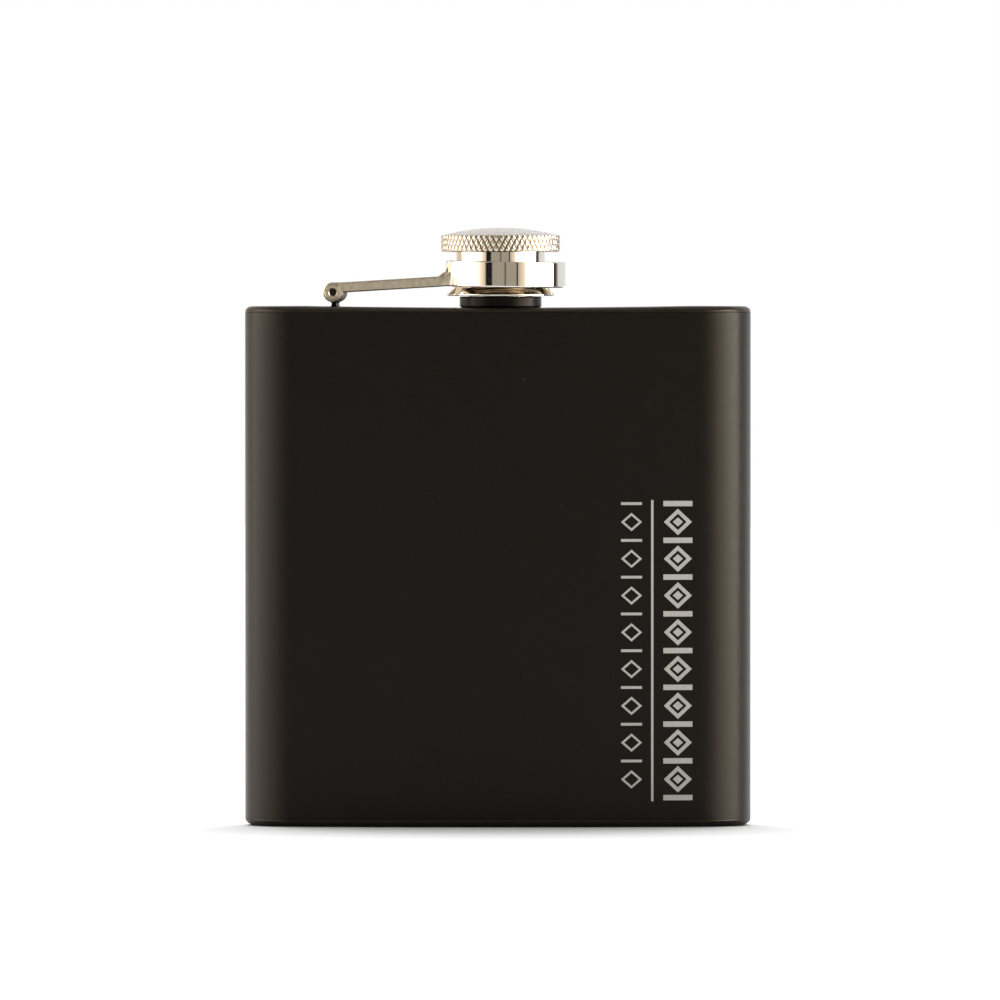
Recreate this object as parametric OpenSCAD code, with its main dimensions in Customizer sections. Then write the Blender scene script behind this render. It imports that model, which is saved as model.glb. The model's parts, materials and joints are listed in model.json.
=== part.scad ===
// Pocket hip flask with a captive screw cap.
// +Z is up and the flask stands on z = 0. +X is to the right, and the bulging front faces -Y.
// The body is a flat bottle that is bowed to sit against a leg: in plan it is a band of constant
// thickness along a shallow arc, with full round ends.

/* [Body] */
// Width of the body over its round ends
body_w = 94; // [75:1:120]
// Height of the body from the base to the rim of the top plate
body_h = 96.5; // [75:0.5:130]
// Thickness of the body, front wall to back wall
body_t = 22.5; // [21:0.5:30]
// How far the bowed body's ends stand behind its middle
bow = 2.5; // [1:0.5:6]
// Thickness of the wrapped sheet wall
wall = 0.6; // [0.4:0.1:1.2]

/* [End plates] */
// Thickness of the pressed top and bottom panels
plate_t = 0.8; // [0.5:0.1:1.5]
// Radius of the top plate's rolled edge
top_edge_r = 1.1; // [0.6:0.1:2]
// Radius of the bottom plate's rolled edge
bottom_edge_r = 1.3; // [0.6:0.1:2]
// Width of the flat land between the rolled edge and the sunk panel
land_w = 1.3; // [0.8:0.1:3]
// Depth to which each panel is sunk below its land
dish = 0.35; // [0.1:0.05:0.8]
// Thickness of the lip that locates a plate inside the wall
lip_t = 0.5; // [0.4:0.1:1]
// Height of the locating lip
lip_h = 1.5; // [0.5:0.1:4]
// Width and depth of the small vee where the wall meets a plate
seam_v = 0.12; // [0.05:0.01:0.25]

/* [Neck] */
// Offset of the neck's axis from the middle of the body
neck_x = 0.5; // [-5:0.1:5]
// Radius of the neck's bore
bore_r = 5.2; // [4:0.1:6]
// Wall of the neck tube under its thread
neck_wall = 0.7; // [0.5:0.05:1.2]
// Height of the neck's mouth above the top panel
neck_h = 9.35; // [8:0.05:12]
// Height of the thread ridges
thread_depth = 0.45; // [0.3:0.05:0.6]
// Pitch of the thread
pitch = 1.5; // [1:0.1:2]
// Radius of the collar welded round the neck's foot
collar_r = 7.6; // [7:0.1:9]
// Height of the collar
collar_h = 2.15; // [1:0.05:3]
// Radius of the flange under the panel
flange_r = 8; // [7.5:0.1:9]
// Thickness of that flange
flange_t = 0.6; // [0.4:0.1:1]

/* [Cap] */
// Gap between the collar and the shut cap
cap_gap = 0.15; // [0.1:0.05:0.5]
// Radial room between the two threads, which lets the cap swing off the mouth
thread_room = 0.65; // [0.6:0.05:1]
// Wall of the threaded liner behind its ridges
liner_wall = 0.4; // [0.3:0.05:1]
// Wall of the metal skirt
skirt_t = 0.4; // [0.3:0.05:0.8]
// How far the flared foot of the skirt stands out beyond the skirt
flare_w = 1.9; // [1.5:0.1:3]
// Height of the flared foot
flare_h = 1.6; // [1:0.1:2.5]
// Thickness of the sealing disc
seal_t = 1.4; // [0.8:0.1:2]
// Radial room round the sealing disc
seal_room = 0.1; // [0.05:0.05:0.3]
// Thickness of the liner's roof
roof_t = 1.3; // [0.8:0.1:2]
// How far the skirt and liner are pressed into the crown
socket_h = 1.6; // [1:0.1:2.5]
// Radius of the crown over its knurled band
crown_r = 11.03; // [10.5:0.01:13]
// Height of the knurled band
band_h = 3.1; // [2:0.1:5]
// Height of the dome above the knurled band
dome_h = 1.4; // [0.5:0.1:3]
// Chamfer at both edges of the knurled band
band_chamfer = 0.15; // [0.05:0.05:0.4]

/* [Captive arm] */
// How much the ring's inside is smaller than the cap's flared foot
catch = 0.1; // [0.05:0.05:0.3]
// Thickness of the strip where it is bent into the ring
ring_t = 1.2; // [0.8:0.1:1.6]
// Height of the ring
ring_h = 4.8; // [3:0.1:5.5]
// Rounding of the strip's edges on the ring
ring_edge_r = 0.3; // [0.1:0.05:0.5]
// How far the loose ring sits off the cap's axis, away from the hinge
ring_shift = 0.8; // [0:0.1:1.2]
// Downward tilt of the ring's far side, in degrees
ring_tilt = 0.7; // [0:0.1:1.5]
// Thickness of the two legs
leg_t = 1.1; // [0.8:0.1:1.6]
// Height of the legs
leg_h = 1.9; // [1.4:0.1:2.5]
// Clear width between the legs
leg_gap = 5.1; // [4:0.1:7]
// Height of the shoulder where a leg widens into the ring
shoulder_h = 2.9; // [2:0.1:4]
// Length of that shoulder
shoulder_l = 1.3; // [0.5:0.1:3]

/* [Hinge] */
// Distance of the hinge pin from the neck's axis, along X
hinge_reach = 30.7; // [26:0.1:36]
// Distance of the hinge behind the neck's axis, along Y
hinge_back = 1.3; // [0:0.1:4]
// Height of the hinge pin above the top panel
hinge_h = 2.95; // [2.8:0.05:5]
// Turn of the arm towards the front, in degrees
arm_yaw = 7; // [0:0.5:10]
// Outer radius of the eyes at the ends of the legs
eye_r = 1.85; // [1.5:0.05:2.5]
// Radius of the hinge pin
pin_r = 0.7; // [0.5:0.05:1]
// Radial running clearance of the pin in the lug
pin_clear = 0.05; // [0.02:0.01:0.1]
// Depth to which the pin's ends are sunk in the eyes
pin_sunk = 0.15; // [0:0.05:0.3]
// Outer radius of the lug's knuckle
knuckle_r = 1.8; // [1.4:0.05:2.4]
// Gap between the knuckle and each leg
side_clear = 0.1; // [0.05:0.05:0.3]
// Width of the post under the knuckle
post_w = 1.1; // [0.8:0.1:2]
// Width of the post's welded foot
foot_w = 2.6; // [1.5:0.1:4]
// Height of the foot's flare
foot_h = 0.8; // [0.4:0.1:1.2]

/* [Hidden] */
$fn = 96;
eps = 0.01;                                   // overlap that makes a cut run clean through

// Plan of the body
half_t = body_t / 2;
end_x = body_w / 2 - half_t;                  // centre of each round end
bow_r = (end_x * end_x + bow * bow) / (2 * bow);   // radius of the middle line's arc
bow_a = asin(end_x / bow_r);                  // half of the arc's angle
mid_y = -bow / 2;                             // the middle line at x = 0

// Heights
top_panel_z = body_h - dish;
top_seam_z = body_h - top_edge_r;
bottom_seam_z = bottom_edge_r;
mouth_z = top_panel_z + neck_h;
collar_top_z = top_panel_z + collar_h;
flare_z = collar_top_z + cap_gap;
skirt_z = flare_z + flare_h;                  // where the skirt's straight part begins
seal_top_z = mouth_z + seal_t;
liner_top_z = seal_top_z + roof_t;            // also the floor of the crown's socket
crown_z = liner_top_z - socket_h;
band_top_z = crown_z + band_h;

// Radii of the neck and cap
neck_y = mid_y;
neck_root_r = bore_r + neck_wall;
neck_crest_r = neck_root_r + thread_depth;
liner_crest_r = neck_crest_r + thread_room;
liner_root_r = liner_crest_r + liner_wall;
skirt_in_r = liner_root_r + liner_wall;
skirt_r = skirt_in_r + skirt_t;
flare_r = skirt_r + flare_w;
dome_edge_r = crown_r - band_chamfer;
dome_r = (dome_edge_r * dome_edge_r + dome_h * dome_h) / (2 * dome_h);

// The arm's own frame: the pin is its origin, and its X runs along the legs
hinge_x = neck_x - hinge_reach;
hinge_y = neck_y + hinge_back;
hinge_z = top_panel_z + hinge_h;
ring_dx = hinge_reach + ring_shift;
ring_x = ring_dx * cos(arm_yaw) + hinge_back * sin(arm_yaw);
ring_y = ring_dx * sin(arm_yaw) - hinge_back * cos(arm_yaw);
ring_in_r = flare_r - catch;
ring_r = ring_in_r + ring_t;
ring_mid_r = ring_in_r + ring_t / 2;
ring_z = skirt_z - hinge_z;                   // the ring's lower edge
leg_drop = 0.1;                               // the legs' top edge below the eyes' tops
leg_start_z = eye_r - leg_h - leg_drop;       // the legs' lower edge at the pin
leg_end_z = ring_z + ring_mid_r * sin(ring_tilt);
pin_l = leg_gap + 2 * leg_t - 2 * pin_sunk;
knuckle_w = leg_gap - 2 * side_clear;

// Carries a half profile (x = distance from the middle line, y = height) round the body's outline.
module around_body() {
    half_body() children();
    mirror([1, 0, 0]) half_body() children();
}

// Left half of that outline: one round end, and the arc from it to just past the middle.
module half_body() {
    past_middle_a = 0.5;
    translate([0, mid_y + bow_r, 0]) rotate([0, 0, -90 - bow_a]) {
        rotate_extrude(angle = bow_a + past_middle_a) translate([bow_r, 0]) {
            children();
            mirror([1, 0]) children();
        }
        translate([bow_r, 0, 0]) rotate([0, 0, 180]) rotate_extrude(angle = 180) children();
    }
}

// Half profile of a pressed end plate that faces up, with its rim at y = 0: a sunk panel, a flat
// land, a rolled edge, and a lip that goes down inside the wall.
module plate_profile(edge_r) {
    land_x = half_t - edge_r - land_w;
    lip_x = half_t - wall;
    steps = 5;
    seam_a = asin(seam_v / edge_r);
    rolled = [for (i = [0 : steps]) let (a = 90 + (seam_a - 90) * i / steps)
        [half_t - edge_r + edge_r * cos(a), -edge_r + edge_r * sin(a)]];
    polygon(concat(
        [[0, -dish], [land_x - dish, -dish], [land_x, 0]],
        rolled,
        [[half_t - seam_v, -edge_r], [lip_x, -edge_r], [lip_x, -edge_r - lip_h],
         [lip_x - lip_t, -edge_r - lip_h], [lip_x - lip_t, -plate_t], [land_x, -plate_t],
         [land_x - dish, -plate_t - dish], [0, -plate_t - dish]]));
}

// Stack of thread ridges as a half profile between two heights, from a root radius to a crest
// radius. Crest and root may be either way round, so the same outline serves neck and liner.
function ridges(root, crest, z0, z1) =
    let (n = floor((z1 - z0) / pitch))
    [for (i = [0 : n - 1]) each
        let (z = z0 + (i + 0.5) * (z1 - z0) / n, flat = pitch / 8, foot = pitch * 3 / 8)
        [[root, z - foot], [crest, z - flat], [crest, z + flat], [root, z + foot]]];

module at_neck(z = 0) {
    translate([neck_x, neck_y, z]) children();
}

module in_arm_frame() {
    translate([hinge_x, hinge_y, hinge_z]) rotate([0, 0, -arm_yaw]) children();
}

// Extrudes an outline drawn in the arm's side view (x along the legs, y up), centred on y_mid.
module across_arm(width, y_mid = 0) {
    translate([0, y_mid + width / 2, 0]) rotate([90, 0, 0]) linear_extrude(height = width)
        children();
}

// Wrapped sheet with small vees at both edges for the weld seams.
module body_wall() {
    color([0.12, 0.11, 0.1]) around_body() polygon([
        [half_t - wall, bottom_seam_z], [half_t - seam_v, bottom_seam_z],
        [half_t, bottom_seam_z + seam_v], [half_t, top_seam_z - seam_v],
        [half_t - seam_v, top_seam_z], [half_t - wall, top_seam_z]]);
}

module top_plate() {
    color([0.12, 0.11, 0.1]) difference() {
        around_body() translate([0, body_h]) plate_profile(top_edge_r);
        at_neck(top_panel_z - plate_t - 1) cylinder(r = neck_root_r, h = plate_t + 2);
    }
}

module bottom_plate() {
    color([0.12, 0.11, 0.1]) around_body() mirror([0, 1]) plate_profile(bottom_edge_r);
}

module neck_collar() {
    color([0.12, 0.11, 0.1]) at_neck(top_panel_z) difference() {
        cylinder(r = collar_r, h = collar_h);
        translate([0, 0, -1]) cylinder(r = neck_root_r, h = collar_h + 2);
    }
}

// Drawn tube with rolled thread ridges and a flange that holds it under the panel.
module neck_tube() {
    flange_top_z = top_panel_z - plate_t;
    color([0.75, 0.74, 0.72]) at_neck() rotate_extrude() polygon(concat(
        [[bore_r, flange_top_z - flange_t], [flange_r, flange_top_z - flange_t],
         [flange_r, flange_top_z], [neck_root_r, flange_top_z]],
        ridges(neck_root_r, neck_crest_r, collar_top_z + pitch / 4, mouth_z - pitch / 4),
        [[neck_root_r, mouth_z], [bore_r, mouth_z]]));
}

// Knuckle on a narrow post with a flared, welded foot.
module hinge_lug() {
    color([0.12, 0.11, 0.1]) in_arm_frame() difference() {
        across_arm(knuckle_w) {
            circle(r = knuckle_r);
            translate([-post_w / 2, -hinge_h]) square([post_w, hinge_h]);
            polygon([[-foot_w / 2, -hinge_h], [foot_w / 2, -hinge_h],
                     [post_w / 2, -hinge_h + foot_h], [-post_w / 2, -hinge_h + foot_h]]);
        }
        across_arm(knuckle_w + 2) circle(r = pin_r + pin_clear);
    }
}

module hinge_pin() {
    color([0.3, 0.29, 0.28]) in_arm_frame() across_arm(pin_l) circle(r = pin_r);
}

// One bent strip: a ring round the cap's skirt, and two legs that run back to the pin.
module cap_arm() {
    color([0.66, 0.62, 0.55]) in_arm_frame() difference() {
        union() {
            ring();
            leg(-1);
            leg(1);
        }
        across_arm(leg_gap + 2 * leg_t + 2) circle(r = pin_r);
    }
}

module ring() {
    difference() {
        translate([ring_x, ring_y, ring_z]) rotate([0, ring_tilt, 0]) rotate_extrude()
            translate([ring_in_r, 0]) strip_section();
        translate([ring_x - 2 * ring_r, -leg_gap / 2, ring_z - 1])
            cube([2 * ring_r, leg_gap, ring_h + 2]);
    }
}

// Section of the ring's strip, rounded on its outer edges.
module strip_section() {
    square([ring_t - ring_edge_r, ring_h]);
    translate([0, ring_edge_r]) square([ring_t, ring_h - 2 * ring_edge_r]);
    for (y = [ring_edge_r, ring_h - ring_edge_r])
        translate([ring_t - ring_edge_r, y]) circle(r = ring_edge_r);
}

// One leg with its eye; side is -1 for the front leg and 1 for the back one.
module leg(side) {
    leg_y = side * (leg_gap + leg_t) / 2;
    off = leg_y - ring_y;
    end = ring_x - sqrt(ring_mid_r * ring_mid_r - off * off);
    across_arm(leg_t, leg_y) {
        circle(r = eye_r);
        polygon([[0, leg_start_z], [end, leg_end_z], [end, leg_end_z + shoulder_h],
                 [end - shoulder_l, leg_end_z + leg_h], [0, leg_start_z + leg_h]]);
    }
}

// Domed crown with a socket for the skirt and liner.
module cap_crown() {
    color([0.8, 0.79, 0.77]) at_neck() rotate_extrude() difference() {
        union() {
            polygon([[0, crown_z], [crown_r - band_chamfer, crown_z],
                     [crown_r, crown_z + band_chamfer], [crown_r, band_top_z - band_chamfer],
                     [dome_edge_r, band_top_z], [0, band_top_z]]);
            intersection() {
                translate([0, band_top_z + dome_h - dome_r]) circle(r = dome_r);
                translate([0, band_top_z - eps]) square([dome_edge_r, dome_h + 1]);
            }
        }
        translate([-eps, crown_z - eps]) square([skirt_r + eps, socket_h + eps]);
    }
}

// Thin metal sleeve that ends in a flared foot, which the ring cannot pass.
module cap_skirt() {
    rim = skirt_t * 0.6;
    color([0.85, 0.83, 0.8]) at_neck() rotate_extrude() polygon([
        [skirt_in_r, liner_top_z], [skirt_in_r, skirt_z - rim], [flare_r - rim, flare_z],
        [flare_r, flare_z], [flare_r, flare_z + rim], [skirt_r, skirt_z], [skirt_r, liner_top_z]]);
}

// Moulded liner with the inner thread and a roof over the seal.
module cap_liner() {
    liner_z = skirt_z - skirt_t / 2;
    color([0.2, 0.2, 0.21]) at_neck() rotate_extrude() polygon(concat(
        [[0, liner_top_z], [skirt_in_r, liner_top_z], [skirt_in_r, liner_z],
         [liner_root_r, liner_z]],
        ridges(liner_root_r, liner_crest_r, liner_z, mouth_z),
        [[liner_root_r, mouth_z], [liner_root_r, seal_top_z], [0, seal_top_z]]));
}

module cap_seal() {
    color([0.75, 0.76, 0.74]) at_neck(mouth_z) cylinder(r = liner_root_r - seal_room, h = seal_t);
}

body_wall();
top_plate();
bottom_plate();
neck_collar();
neck_tube();
hinge_lug();
hinge_pin();
cap_arm();
cap_crown();
cap_skirt();
cap_liner();
cap_seal();
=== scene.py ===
# %% [markdown]
# # A pocket hip flask, built piece by piece
#
# The flask is a flat steel bottle, bowed to sit against a leg, with a matte black powder coat and a
# polished screw cap that a hinged strip keeps captive. The CAD frame already holds every size and
# every joint. This lesson loads it, then builds each visible piece again as a smooth surface worked
# out with numpy, and gives each one a finish that holds up close to.

# %% Load the frame
import json
import math

import bmesh
import bpy
import numpy as np
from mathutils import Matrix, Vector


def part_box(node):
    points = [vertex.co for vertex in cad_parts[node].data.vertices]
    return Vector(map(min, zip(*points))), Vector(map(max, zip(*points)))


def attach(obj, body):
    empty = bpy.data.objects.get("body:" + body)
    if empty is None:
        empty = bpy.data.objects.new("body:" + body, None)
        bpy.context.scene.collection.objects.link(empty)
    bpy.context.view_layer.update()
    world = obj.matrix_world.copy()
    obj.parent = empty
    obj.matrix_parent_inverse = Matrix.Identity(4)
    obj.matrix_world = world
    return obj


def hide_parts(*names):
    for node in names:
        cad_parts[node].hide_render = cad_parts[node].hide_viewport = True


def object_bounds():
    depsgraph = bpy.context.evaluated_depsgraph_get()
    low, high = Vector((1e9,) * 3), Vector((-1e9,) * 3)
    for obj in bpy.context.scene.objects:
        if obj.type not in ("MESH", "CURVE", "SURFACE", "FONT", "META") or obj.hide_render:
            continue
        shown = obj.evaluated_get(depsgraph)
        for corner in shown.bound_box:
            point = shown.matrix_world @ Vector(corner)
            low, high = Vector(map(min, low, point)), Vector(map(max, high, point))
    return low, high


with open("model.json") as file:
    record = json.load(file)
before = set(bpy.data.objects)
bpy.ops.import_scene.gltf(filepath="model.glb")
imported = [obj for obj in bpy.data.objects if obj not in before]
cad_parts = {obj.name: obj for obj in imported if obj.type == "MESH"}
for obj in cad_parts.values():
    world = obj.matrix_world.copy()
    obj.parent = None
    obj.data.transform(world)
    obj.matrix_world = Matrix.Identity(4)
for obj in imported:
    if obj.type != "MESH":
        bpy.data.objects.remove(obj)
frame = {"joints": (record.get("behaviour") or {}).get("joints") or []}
cad_low, cad_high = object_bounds()
MM = 0.001
print("CAD box in mm:", [round(v / MM, 2) for v in (*cad_low, *cad_high)])

# %% [markdown]
# ## From arrays to a piece
#
# Most pieces here are a grid: rows of points along one direction, columns along the other. A helper
# turns a grid into faces, and can close it round either way, as a tube closes round its girth. A
# second helper welds the points that fall together at a pole or a seam, throws away faces of no
# area and edges without a face, and turns every face outwards. Smooth shading with sharp edges only
# at real corners then does the rest. The alternative, a stack of primitives and modifiers, would
# hide the shape in menus.


# %% Grid helpers
def grid_faces(rows, cols, wrap_rows=False, wrap_cols=False):
    """Quads of a rows x cols grid: corner (i, j) joins (i, j+1), (i+1, j+1) and (i+1, j)."""
    i = np.arange(rows if wrap_rows else rows - 1)
    j = np.arange(cols if wrap_cols else cols - 1)
    i, j = (a.ravel() for a in np.meshgrid(i, j, indexing="ij"))
    i2, j2 = (i + 1) % rows, (j + 1) % cols
    return np.stack([i * cols + j, i * cols + j2, i2 * cols + j2, i2 * cols + j], axis=1)


def shell(grid, wrap_rows=False, wrap_cols=False, caps=False):
    """A grid (rows, cols, 3) as flat points and faces; caps closes the first and last rows."""
    rows, cols = grid.shape[:2]
    faces = grid_faces(rows, cols, wrap_rows, wrap_cols).tolist()
    if caps:
        faces += [list(range(cols)), list(range((rows - 1) * cols, rows * cols))]
    return grid.reshape(-1, 3), faces


def keep_flats_flat(obj):
    """Weights each point's normal by face area, so that a large flat face next to a small rounding
    keeps its own direction right up to its edge, and mirrors like a flat."""
    weighted = obj.modifiers.new("flats", "WEIGHTED_NORMAL")
    weighted.weight = 90
    weighted.keep_sharp = True


def welded_mesh(name, points, faces):
    """A mesh with its doubles merged and its faces turned outwards, and how many edges are open."""
    mesh = bpy.data.meshes.new(name)
    mesh.from_pydata(points.tolist(), [], faces)
    work = bmesh.new()
    work.from_mesh(mesh)
    bmesh.ops.remove_doubles(work, verts=work.verts, dist=2e-7)
    bmesh.ops.dissolve_degenerate(work, edges=work.edges, dist=1e-8)
    bare_edges = [edge for edge in work.edges if edge.is_wire]
    bmesh.ops.delete(work, geom=bare_edges, context="EDGES")
    bmesh.ops.recalc_face_normals(work, faces=work.faces)
    open_edges = sum(1 for edge in work.edges if not edge.is_manifold)
    work.to_mesh(mesh)
    work.free()
    return mesh, open_edges


def piece(name, shells, body, replaces=(), sharp=30.0):
    """One object from one or more closed shells, welded, turned outwards and smoothly shaded."""
    points, faces, start = [], [], 0
    for part_points, part_faces in shells:
        points.append(part_points)
        faces += [[start + k for k in face] for face in part_faces]
        start += len(part_points)
    mesh, open_edges = welded_mesh(name, np.concatenate(points), faces)
    mesh.shade_smooth()
    mesh.set_sharp_from_angle(angle=math.radians(sharp))
    obj = bpy.data.objects.new(name, mesh)
    keep_flats_flat(obj)
    bpy.context.scene.collection.objects.link(obj)
    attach(obj, body)
    if replaces:
        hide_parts(*replaces)
    print(f"{name}: {len(mesh.polygons)} faces, {open_edges} open edges")
    return obj


print("a closed grid of 4 x 3 points has", len(grid_faces(4, 3, True, True)), "faces")

# %% [markdown]
# ## Lines to sweep
#
# Every grid starts from a line. Curve objects with bevelled corners would be edited by eye, so these
# three helpers work the points out instead: an arc, a polyline with a radius at each corner, and a
# step that eases in and out, for everything that has to blend.

# %% Line helpers
def arc(centre, radius, start, end, count):
    """Points on a circle in a plane: centre + radius (cos a, sin a), a in degrees from start to end."""
    a = np.radians(np.linspace(start, end, count))
    return np.stack([centre[0] + radius * np.cos(a), centre[1] + radius * np.sin(a)], axis=1)


def rounded(corners, radii, count=6):
    """A polyline whose corners are rounded: each corner p with radius r becomes the arc that touches
    both its legs, r / tan(half the angle) away from p. The first and last points stay."""
    corners = np.asarray(corners, float)
    line = [corners[:1]]
    for p, q, r in zip(corners[1:-1], range(1, len(corners) - 1), radii):
        back = corners[q - 1] - p
        ahead = corners[q + 1] - p
        back, ahead = back / np.linalg.norm(back), ahead / np.linalg.norm(ahead)
        half = math.acos(np.clip(back @ ahead, -1, 1)) / 2
        if r <= 0 or half > math.radians(89.5):
            line.append(p[None])
            continue
        centre = p + (back + ahead) / np.linalg.norm(back + ahead) * r / math.sin(half)
        from_centre = p + back * r / math.tan(half) - centre
        turn = math.atan2(back[0] * ahead[1] - back[1] * ahead[0], back @ ahead)
        sweep = np.linspace(0, -math.copysign(math.pi - 2 * half, turn), count)
        c, s = np.cos(sweep), np.sin(sweep)
        x, y = from_centre
        line.append(centre + np.stack([x * c - y * s, x * s + y * c], axis=1))
    line.append(corners[-1:])
    return np.concatenate(line)


def smooth(x, low, high):
    """0 below low, 1 above high, and 3t^2 - 2t^3 between them."""
    t = np.clip((x - low) / (high - low), 0, 1)
    return t * t * (3 - 2 * t)


print("halfway up a smooth step:", smooth(0.5, 0, 1))

# %% [markdown]
# ## Node helpers
#
# Every finish is a small node tree. It could be wired by hand in the shader editor, but a few short
# functions keep each finish readable. Textures read Object coordinates, so a grain keeps its real
# size in metres on every piece: a noise scale of 5000 means features of a fifth of a millimetre.


# %% Material helpers
def new_material(name, colour, roughness, metallic=0.0, **sockets):
    """A Principled material, with its tree, its shader, and its Object coordinates."""
    material = bpy.data.materials.new(name)
    material.use_nodes = True
    tree = material.node_tree
    shader = tree.nodes["Principled BSDF"]
    shader.inputs["Base Color"].default_value = (*colour, 1)
    shader.inputs["Roughness"].default_value = roughness
    shader.inputs["Metallic"].default_value = metallic
    for socket, value in sockets.items():
        shader.inputs[socket.replace("_", " ")].default_value = value
    place = tree.nodes.new("ShaderNodeTexCoord").outputs["Object"]
    return material, tree, shader, place


def node(tree, kind, inputs=(), **settings):
    """A node of that kind; inputs are (socket, value or link) pairs."""
    made = tree.nodes.new("ShaderNode" + kind)
    for key, value in settings.items():
        setattr(made, key, value)
    for socket, value in inputs:
        if isinstance(value, bpy.types.NodeSocket):
            tree.links.new(value, made.inputs[socket])
        else:
            made.inputs[socket].default_value = value
    return made


def noise(tree, place, scale, detail=3.0, roughness=0.5, stretch=None, turn=0.0):
    """Noise of so many features a metre; stretch scales the axes, after a turn about Z."""
    if stretch is not None:
        place = node(tree, "Mapping", [("Vector", place), ("Rotation", (0, 0, turn)),
                                       ("Scale", stretch)], vector_type="TEXTURE").outputs[0]
    return node(tree, "TexNoise", [("Vector", place), ("Scale", scale), ("Detail", detail),
                                   ("Roughness", roughness)]).outputs["Fac"]


def spread(tree, value, low, high, to_low, to_high):
    """Maps a value from low..high to to_low..to_high, held at the ends."""
    return node(tree, "MapRange", [("Value", value), ("From Min", low), ("From Max", high),
                                   ("To Min", to_low), ("To Max", to_high)]).outputs[0]


def mix_colour(tree, share, first, second):
    """A colour that goes from first to second as share goes from 0 to 1."""
    made = node(tree, "Mix", [(0, share)], data_type="RGBA")
    for socket, value in ((6, first), (7, second)):
        if isinstance(value, bpy.types.NodeSocket):
            tree.links.new(value, made.inputs[socket])
        else:
            made.inputs[socket].default_value = (*value, 1)
    return made.outputs[2]


def reach_from(tree, place, axis):
    """How far each point is from an upright axis, measured in plan: length of (place - axis) with
    its z set to 0."""
    away = node(tree, "VectorMath", [(0, place), (1, axis)], operation="SUBTRACT").outputs[0]
    plan = node(tree, "VectorMath", [(0, away), (1, (1, 1, 0))], operation="MULTIPLY").outputs[0]
    return node(tree, "VectorMath", [(0, plan)], operation="LENGTH").outputs["Value"]


def bump(tree, shader, height, distance, strength=1.0, under=None):
    """Adds a height in metres to a shader's normal, on top of another bump if there is one."""
    made = node(tree, "Bump", [("Height", height), ("Distance", distance), ("Strength", strength)])
    if under is not None:
        tree.links.new(under, made.inputs["Normal"])
    tree.links.new(made.outputs[0], shader.inputs["Normal"])
    return made.outputs[0]


def grained(name, colour, roughness, scale, strength, **sockets):
    """One colour and roughness, with a fine grain of so many features a metre in its bump."""
    material, tree, shader, place = new_material(name, colour, roughness, **sockets)
    bump(tree, shader, noise(tree, place, scale, 2), 0.00001, strength)
    return material


print("helpers: new_material, node, noise, spread, mix_colour, reach_from, bump, grained")

# %% [markdown]
# ## Powder coat
#
# Powder coat is sprayed as dry paint and baked. It leaves a faint orange-peel grain, a dull sheen
# that only shows at grazing angles, and a few pale specks of dust. A painted texture would have to
# be laid out flat on every piece, and noise needs no layout. Two noises make the grain, one for the
# peel and one for the powder, and a sparse cell pattern makes the specks. The top plate's coat is
# painted paler than the wall's, as painted light on the top band, and the base's coat is painted
# darker, as painted shade on the edge that faces the floor. The base also gets a paler tone by
# height just under the wall, a painted highlight on the upper part of its rolled edge.

# %% The powder coat
PAINTED_HIGHLIGHT = (0.022, 0.0175, 0.0135)       # colour of the base's painted highlight, on the upper part of its rolled edge


def powder_coat(name, colour=(0.0022, 0.0016, 0.0011), level=0.18, highlight_heights=None):
    """Matte black: grain in the bump, slow changes in roughness and colour, sparse pale specks.
    The last argument is a pair of heights over which the coat fades to a painted highlight."""
    material, tree, shader, place = new_material(name, colour, 0.5)
    shader.inputs["Specular IOR Level"].default_value = level
    shader.inputs["Specular Tint"].default_value = (1, 0.9, 0.78, 1)
    cloud = noise(tree, place, 90, 4)
    dark = tuple(c * 0.85 for c in colour)
    light = tuple(c * 1.25 for c in colour)
    tone = mix_colour(tree, spread(tree, cloud, 0.3, 0.7, 0, 1), dark, light)
    if highlight_heights is not None:
        # painted highlight: the coat turns paler between the two heights
        height = node(tree, "SeparateXYZ", [("Vector", place)]).outputs[2]
        tone = mix_colour(tree, spread(tree, height, *highlight_heights, 0, 1), tone, PAINTED_HIGHLIGHT)
    cells = node(tree, "TexVoronoi", [("Vector", place), ("Scale", 420.0)])
    chosen = node(tree, "SeparateColor", [("Color", cells.outputs["Color"])]).outputs[0]
    dot = spread(tree, cells.outputs["Distance"], 0.03, 0.055, 1, 0)
    rare = spread(tree, chosen, 0.93, 0.95, 0, 0.55)
    speck = node(tree, "Math", [(0, dot), (1, rare)], operation="MULTIPLY").outputs[0]
    colour_out = mix_colour(tree, speck, tone, (0.16, 0.15, 0.13))
    tree.links.new(colour_out, shader.inputs["Base Color"])
    sheen = spread(tree, noise(tree, place, 700, 3), 0.3, 0.7, 0.27, 0.34)
    tree.links.new(sheen, shader.inputs["Roughness"])
    peel = bump(tree, shader, noise(tree, place, 1800, 2), 0.00002, 0.7)
    bump(tree, shader, noise(tree, place, 7000, 2), 0.00001, 0.8, under=peel)
    return material


coat_on_wall = powder_coat("coat_on_wall")
# painted light: the top plate's coat is much paler than the wall's, so the top band looks lit
coat_on_plates = powder_coat("coat_on_plates", (0.015, 0.012, 0.0085))
# painted shade: the base's coat is darker than the wall's, for the edge that faces the floor; its paler
# band from 0.5 to 1.2 mm up is a painted highlight
coat_on_base = powder_coat("coat_on_base", (0.0012, 0.0009, 0.0007), 0.16, (0.5 * MM, 1.2 * MM))
coat_on_fittings = powder_coat("coat_on_fittings", level=0.12)
coat_on_lug = powder_coat("coat_on_lug", (0.002, 0.0016, 0.0012), 0.02)
print("coats:", ", ".join(m.name for m in bpy.data.materials if m.name.startswith("coat_on")))

# %% [markdown]
# ## Polished and satin steel
#
# The cap's skirt and the ring are buffed to a mirror. A perfect mirror looks false, so a slow
# ripple bends the reflections a little, and fine hairlines scatter them. The strip's legs are left
# dull and brushed along their length. Both could be one finish with a switch, but two short
# functions show better what makes each one what it is.

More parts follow.
